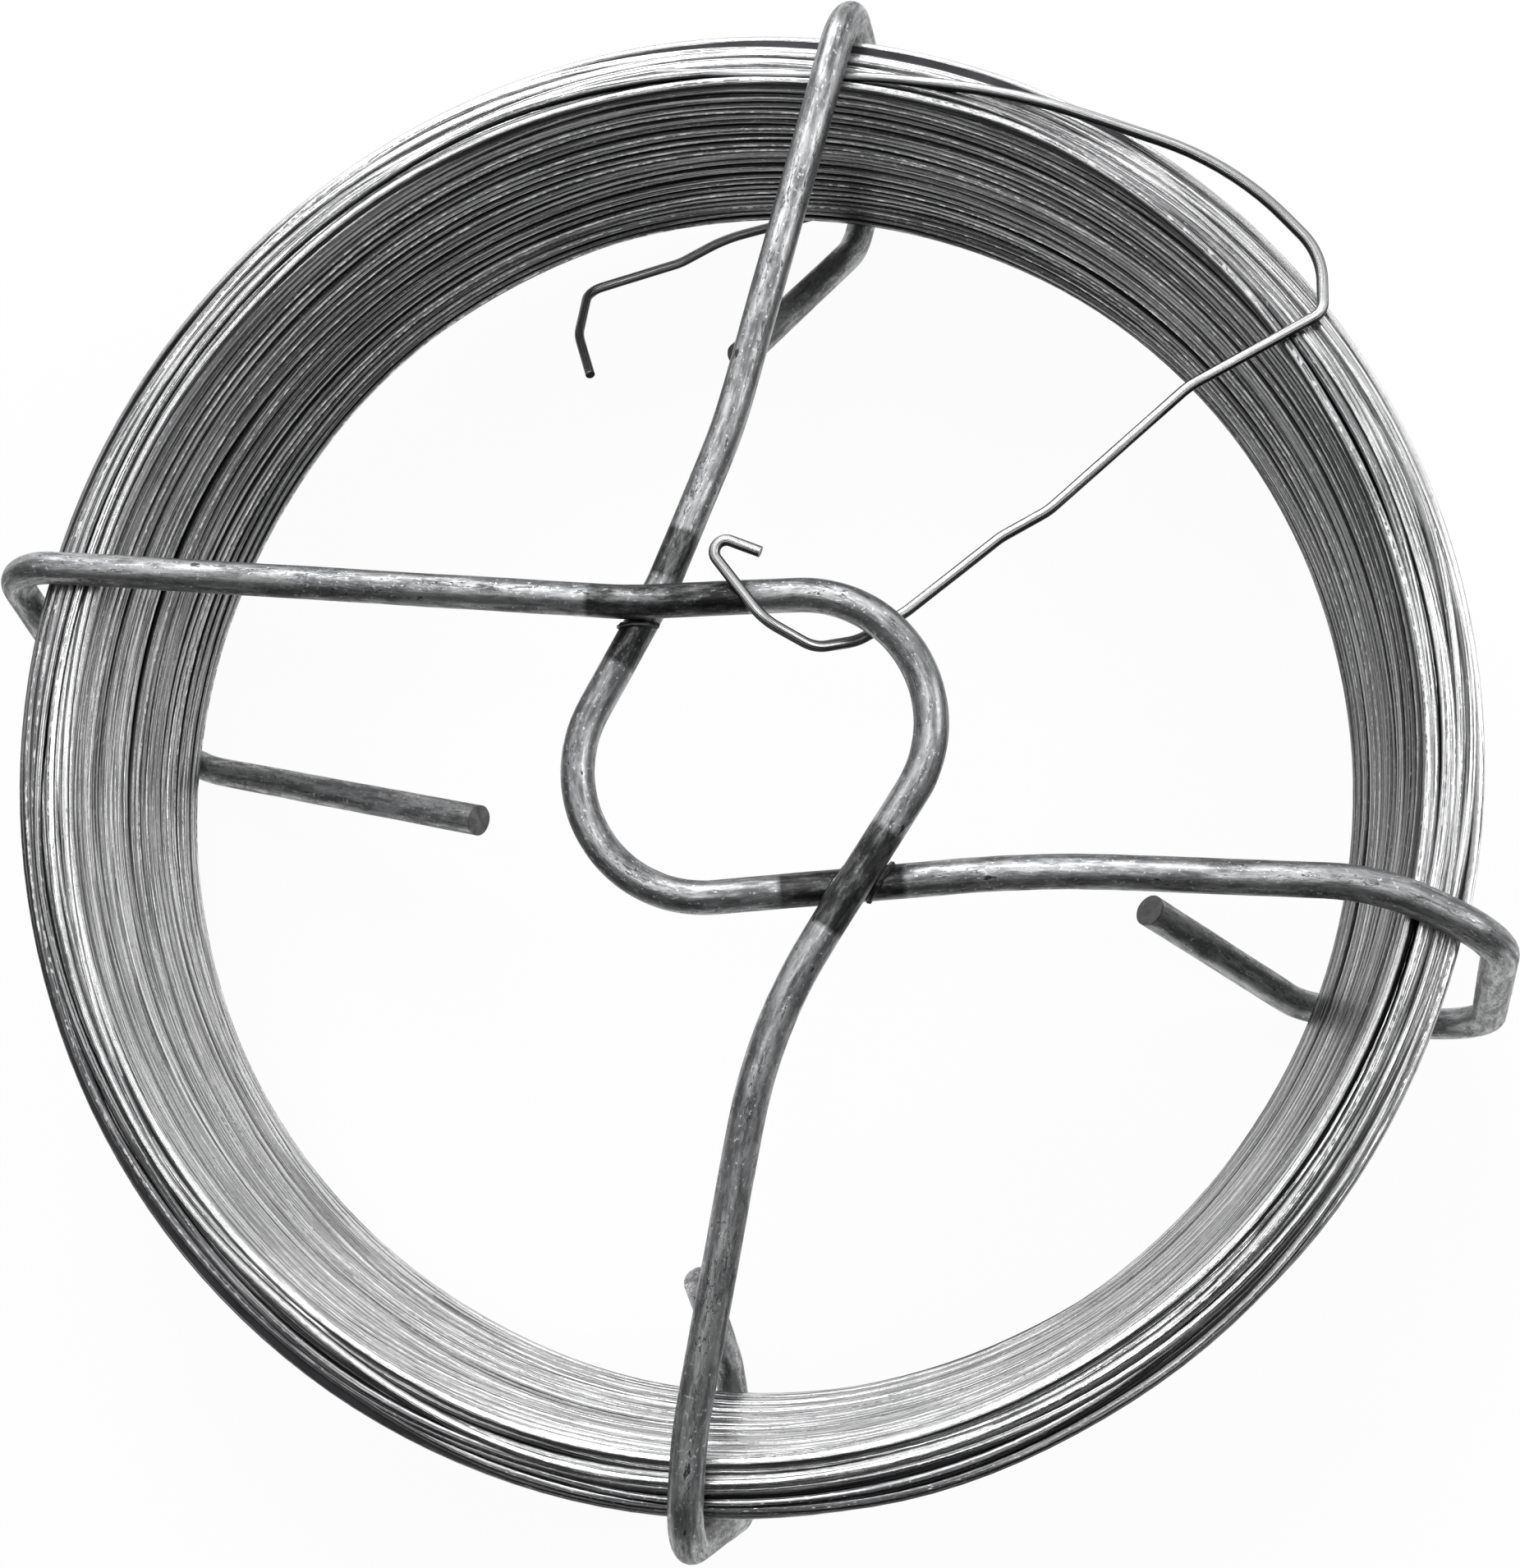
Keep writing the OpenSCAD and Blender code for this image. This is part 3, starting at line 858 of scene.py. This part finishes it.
class WIRECOIL_OT_core(bpy.types.Operator):
    """Fills the coil behind the turns that show, so that no light comes through between them"""

    bl_idname = "wirecoil.core"
    bl_label = "Fill the coil"

    def execute(self, context):
        winding = context.scene.wire_coil.winding
        inset = winding.wire_diameter * 0.62
        steps = 192
        inner, outer = BORE_RADIUS + inset, COIL_RADIUS - inset
        low, high = COIL_LOW.z + inset * 1.5, COIL_HIGH.z - inset * 1.5
        section = [(inner, low), (inner, high), (outer, high), (outer, low)]
        points, faces = [], []
        for i in range(steps):
            turn = 2 * math.pi * i / steps
            for radius, height in section:
                points.append((
                    radius * math.cos(turn) * (1 - winding.oval), radius * math.sin(turn), height
                ))
        for i in range(steps):
            here, ahead = 4 * i, 4 * ((i + 1) % steps)
            for k in range(4):
                after = (k + 1) % 4
                faces.append((here + k, here + after, ahead + after, ahead + k))
        mesh = bpy.data.meshes.new("hidden_turns")
        mesh.from_pydata(points, [], faces)
        mesh.validate()
        piece = bpy.data.objects.new("hidden_turns", mesh)
        context.scene.collection.objects.link(piece)
        # The hidden turns are coloured near black: painted shade
        mesh.materials.append(kept_material("shade_between_turns", shade_material))
        place_piece(piece, "thin_wire", "coil")
        return {"FINISHED"}


class WIRECOIL_OT_cross(bpy.types.Operator):
    """Bends the two heavy wires that hold the coil and cross round the eye"""

    bl_idname = "wirecoil.cross"
    bl_label = "Bend the cross wires"

    def execute(self, context):
        settings = context.scene.wire_coil
        steel = kept_material("drawn_steel_on_heavy_wire", lambda: steel_material(settings.finish))
        tree = bpy.data.node_groups.get("Bent wire") or bent_wire_tree()
        for name, node, corners, heated, seed in (
            ("heavy_wire_upper", "cross_wire_upper", UPPER_CORNERS, UPPER_HEAT, 2.0),
            ("heavy_wire_lower", "cross_wire_lower", LOWER_CORNERS, LOWER_HEAT, 9.0),
        ):
            base = line_mesh(name + "_base", bent_line(corners), 0.45 * MM, heated, 0.35 * MM)
            piece = grow(name, tree, base, {
                "Wire diameter": settings.cross.wire_diameter,
                "Sides": 28,
                "Unevenness": settings.cross.unevenness,
                "Dent length": 6 * MM,
                "Seed": seed,
                "Material": steel,
            })
            place_piece(piece, "heavy_wire", node)
        return {"FINISHED"}


class WIRECOIL_OT_weld_beads(bpy.types.Operator):
    """Lays the small beads of squeezed metal beside the two welds of the cross"""

    bl_idname = "wirecoil.weld_beads"
    bl_label = "Lay the weld beads"

    def execute(self, context):
        settings = context.scene.wire_coil
        steel = kept_material("drawn_steel_on_heavy_wire", lambda: steel_material(settings.finish))
        tree = bpy.data.node_groups.get("Bent wire") or bent_wire_tree()
        upper = even_steps(bent_line(UPPER_CORNERS), 0.2 * MM)[0]
        lower = even_steps(bent_line(LOWER_CORNERS), 0.2 * MM)[0]
        for number, near in enumerate(WELDS):
            place, along_upper, along_lower = crossing(upper, lower, near)
            for letter, side in (("a", -1), ("b", 1)):
                name = f"weld_bead_{number + 1}{letter}"
                line = bead_line(place, along_upper, along_lower, side, settings.cross.wire_diameter / 2)
                ends = (tuple(line[0] / MM), tuple(line[-1] / MM))
                piece = grow(name, tree, line_mesh(name + "_base", line, 0.1 * MM, (ends,), 0.4 * MM), {
                    "Wire diameter": BEAD_DIAMETER * MM,
                    "Sides": 12,
                    "Unevenness": 0.16 * MM,
                    "Dent length": 0.5 * MM,
                    "Seed": 3.0 * number + side,
                    "Material": steel,
                })
                place_piece(piece, "heavy_wire")
        return {"FINISHED"}


class WIRECOIL_OT_loose_ends(bpy.types.Operator):
    """Bends the two loose ends of the thin wire"""

    bl_idname = "wirecoil.loose_ends"
    bl_label = "Bend the loose ends"

    def execute(self, context):
        settings = context.scene.wire_coil
        zinc = kept_material("zinc_on_thin_wire", lambda: zinc_material(settings.finish))
        tree = bpy.data.node_groups.get("Bent wire") or bent_wire_tree()
        for name, node, corners, seed in (
            ("loose_end_outer", "outer_end", OUTER_END_CORNERS, 4.0),
            ("loose_end_inner", "inner_end", INNER_END_CORNERS, 6.0),
        ):
            base = line_mesh(name + "_base", bent_line(corners), 0.2 * MM, (), 0.12 * MM)
            for label, level in (("calm", 1.0), ("tone_and_painted_shade", TAIL_DULLNESS)):
                made = base.attributes.new(label, "FLOAT", "POINT")
                made.data.foreach_set("value", [level] * len(base.vertices))
            piece = grow(name, tree, base, {
                "Wire diameter": settings.cross.tail_diameter,
                "Sides": 16,
                "Unevenness": settings.cross.unevenness * 0.5,
                "Dent length": 5 * MM,
                "Seed": seed,
                "Material": zinc,
            })
            place_piece(piece, "thin_wire", node)
        return {"FINISHED"}


class WIRECOIL_OT_studio(bpy.types.Operator):
    """Sets the pale floor, the soft lights and the camera"""

    bl_idname = "wirecoil.studio"
    bl_label = "Set the studio"

    def execute(self, context):
        scene = context.scene
        studio = scene.wire_coil.studio
        self.floor(scene)
        self.world(scene, studio)
        self.lamps(scene, studio)
        self.camera(scene, studio)
        scene.view_settings.view_transform = "Standard"
        return {"FINISHED"}

    def seen(self, w):
        """1 for rays that show the white studio: from the camera, in a reflection or through glass."""
        ray = w.add("ShaderNodeLightPath").outputs
        either = w.math("MAXIMUM", ray["Is Camera Ray"], ray["Is Glossy Ray"])
        return w.math("MAXIMUM", either, ray["Is Transmission Ray"])

    def floor(self, scene):
        size = 2.5
        mesh = bpy.data.meshes.new("studio_floor")
        mesh.from_pydata([(-size, -size, 0), (size, -size, 0), (size, size, 0), (-size, size, 0)], [], [(0, 1, 2, 3)])
        floor = bpy.data.objects.new("studio_floor", mesh)
        scene.collection.objects.link(floor)
        material, w, shader = new_material("pale_floor")
        shader.inputs["Base Color"].default_value = (0.9, 0.9, 0.9, 1.0)
        shader.inputs["Roughness"].default_value = 0.9
        glow = w.add("ShaderNodeEmission")
        glow.inputs["Strength"].default_value = 1.0
        mix = w.add("ShaderNodeMixShader")
        w.feed(mix.inputs[0], w.math("MULTIPLY", self.seen(w), 0.95))
        w.feed(mix.inputs[1], shader.outputs[0])
        w.feed(mix.inputs[2], glow.outputs[0])
        out = material.node_tree.nodes["Material Output"]
        w.feed(out.inputs["Surface"], mix.outputs[0])
        mesh.materials.append(material)

    def world(self, scene, studio):
        world = bpy.data.worlds.new("white_studio")
        world.use_nodes = True
        scene.world = world
        w = Wiring(world.node_tree)
        out = world.node_tree.nodes["World Output"]
        soft = world.node_tree.nodes["Background"]
        soft.inputs["Color"].default_value = (1.0, 1.0, 1.0, 1.0)
        soft.inputs["Strength"].default_value = studio.fill
        white = w.add("ShaderNodeBackground")
        white.inputs["Color"].default_value = (1.0, 1.0, 1.0, 1.0)
        white.inputs["Strength"].default_value = 1.0
        mix = w.add("ShaderNodeMixShader")
        w.feed(mix.inputs[0], self.seen(w))
        w.feed(mix.inputs[1], soft.outputs[0])
        w.feed(mix.inputs[2], white.outputs[0])
        w.feed(out.inputs["Surface"], mix.outputs[0])

    def lamps(self, scene, studio):
        for name, place, size, power in (
            ("key_softbox", (-0.08, 0.36, 0.32), 0.30, studio.key),
            ("side_softbox", (0.34, 0.05, 0.26), 0.22, studio.key * 0.3),
            ("top_softbox", (-0.02, 0.04, 0.60), 0.11, studio.key * 0.16),
        ):
            light = bpy.data.lights.new(name, "AREA")
            light.shape = "SQUARE"
            light.size = size
            light.energy = power
            lamp = bpy.data.objects.new(name, light)
            lamp.location = place
            lamp.rotation_euler = (-Vector(place)).to_track_quat("-Z", "Y").to_euler()
            scene.collection.objects.link(lamp)
        card_material, w, shader = new_material("black_card")
        shader.inputs["Base Color"].default_value = (0.01, 0.01, 0.01, 1.0)
        shader.inputs["Roughness"].default_value = 1.0
        for name, place, size in (
            ("flag_below", (0.0, -0.30, 0.24), (1.1, 0.55)),
            ("flag_left", (-0.36, -0.12, 0.12), (0.6, 0.24)),
            ("flag_right", (0.36, -0.12, 0.12), (0.6, 0.24)),
        ):
            mesh = bpy.data.meshes.new(name)
            x, y = size[0] / 2, size[1] / 2
            mesh.from_pydata([(-x, -y, 0), (x, -y, 0), (x, y, 0), (-x, y, 0)], [], [(0, 1, 2, 3)])
            mesh.materials.append(card_material)
            card = bpy.data.objects.new(name, mesh)
            card.location = place
            card.rotation_euler = (-Vector(place)).to_track_quat("-Z", "Y").to_euler()
            card.visible_camera = False
            card.visible_shadow = False
            card.visible_diffuse = False
            scene.collection.objects.link(card)

    def camera(self, scene, studio):
        data = bpy.data.cameras.new("photo_camera")
        data.lens = studio.lens
        data.sensor_width = 36.0
        data.sensor_fit = "AUTO"
        data.clip_start = 0.005
        data.clip_end = 20.0
        camera = bpy.data.objects.new("photo_camera", data)
        right = Vector((0.99185, 0.0, -0.12738)).normalized()
        ahead = Vector((-0.12607, 0.14319, -0.98163)).normalized()
        up = right.cross(ahead).normalized()
        turn = Matrix((right, up, -ahead)).transposed()
        camera.matrix_world = Matrix.Translation((0.02065, -0.0232, 0.15833)) @ turn.to_4x4()
        scene.collection.objects.link(camera)
        scene.camera = camera


class WIRECOIL_PT_panel(bpy.types.Panel):
    bl_idname = "WIRECOIL_PT_panel"
    bl_label = "Wire coil"
    bl_space_type = "VIEW_3D"
    bl_region_type = "UI"
    bl_category = "Wire coil"

    def draw(self, context):
        settings = context.scene.wire_coil
        for group in (settings.winding, settings.cross, settings.finish, settings.studio):
            box = self.layout.box()
            for key in group.__annotations__:
                box.prop(group, key)
        for operator in OPERATORS:
            self.layout.operator(operator.bl_idname)


OPERATORS = (
    WIRECOIL_OT_windings,
    WIRECOIL_OT_core,
    WIRECOIL_OT_cross,
    WIRECOIL_OT_weld_beads,
    WIRECOIL_OT_loose_ends,
    WIRECOIL_OT_studio,
)
CLASSES = (
    WindingSettings,
    CrossSettings,
    FinishSettings,
    StudioSettings,
    WireCoilSettings,
    *OPERATORS,
    WIRECOIL_PT_panel,
)


def register():
    for item in CLASSES:
        bpy.utils.register_class(item)
    bpy.types.Scene.wire_coil = bpy.props.PointerProperty(type=WireCoilSettings)


def unregister():
    del bpy.types.Scene.wire_coil
    for item in reversed(CLASSES):
        bpy.utils.unregister_class(item)


def main():
    register()
    for operator in OPERATORS:
        area, name = operator.bl_idname.split(".")
        getattr(getattr(bpy.ops, area), name)()


if __name__ == "__main__":
    main()
